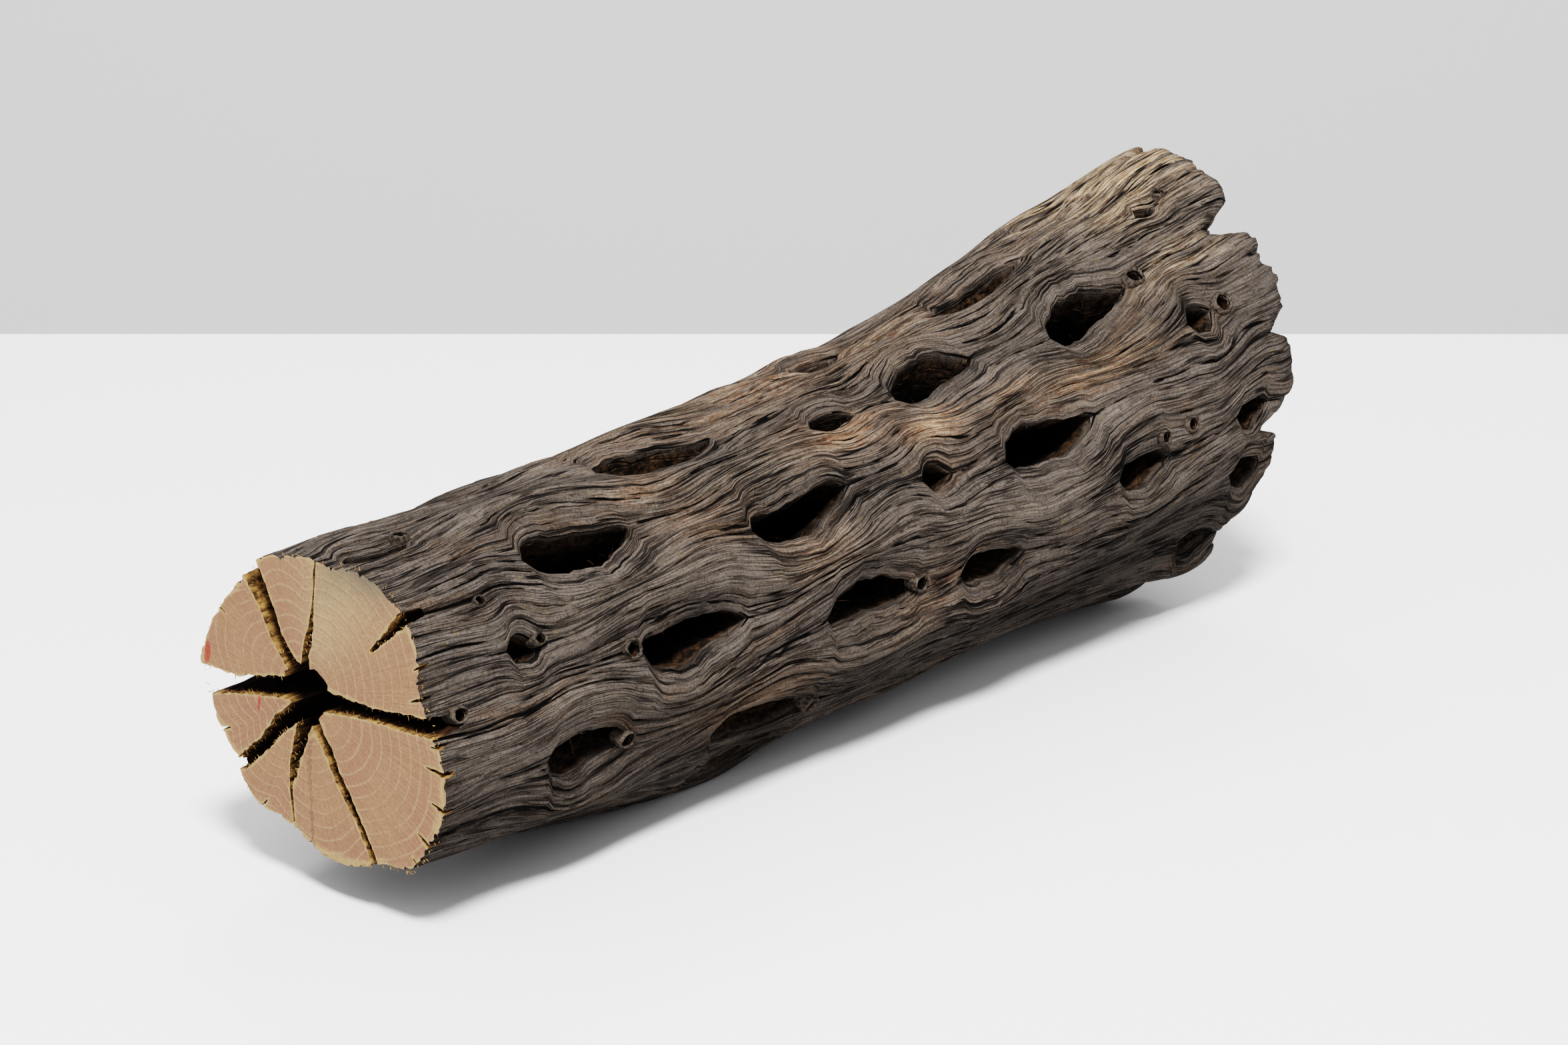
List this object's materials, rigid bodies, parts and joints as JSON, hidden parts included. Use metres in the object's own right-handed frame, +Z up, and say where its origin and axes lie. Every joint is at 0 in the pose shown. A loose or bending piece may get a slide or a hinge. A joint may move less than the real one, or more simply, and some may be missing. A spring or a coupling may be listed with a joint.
{
  "type": "cholla cactus wood",
  "caption": "Hollow length of weathered cholla cactus wood lying on its side, sawn square at one end and broken at the other, its wall pierced by lens-shaped openings.",
  "frame": {"origin": "on the surface that the stem lies on, in the middle of its footprint", "axes": "+X along the stem from the saw cut to the broken end, +Z up, -Y towards the side that the picture shows"},
  "size_m": [0.2472, 0.0804, 0.0823],
  "materials": {
    "weathered_wood": "matt weathered grey-brown wood with open grain, pinkish tan where it is sawn"
  },
  "bodies": {
    "root": {"cholla_wood": "weathered_wood"}
  },
  "joints": []
}
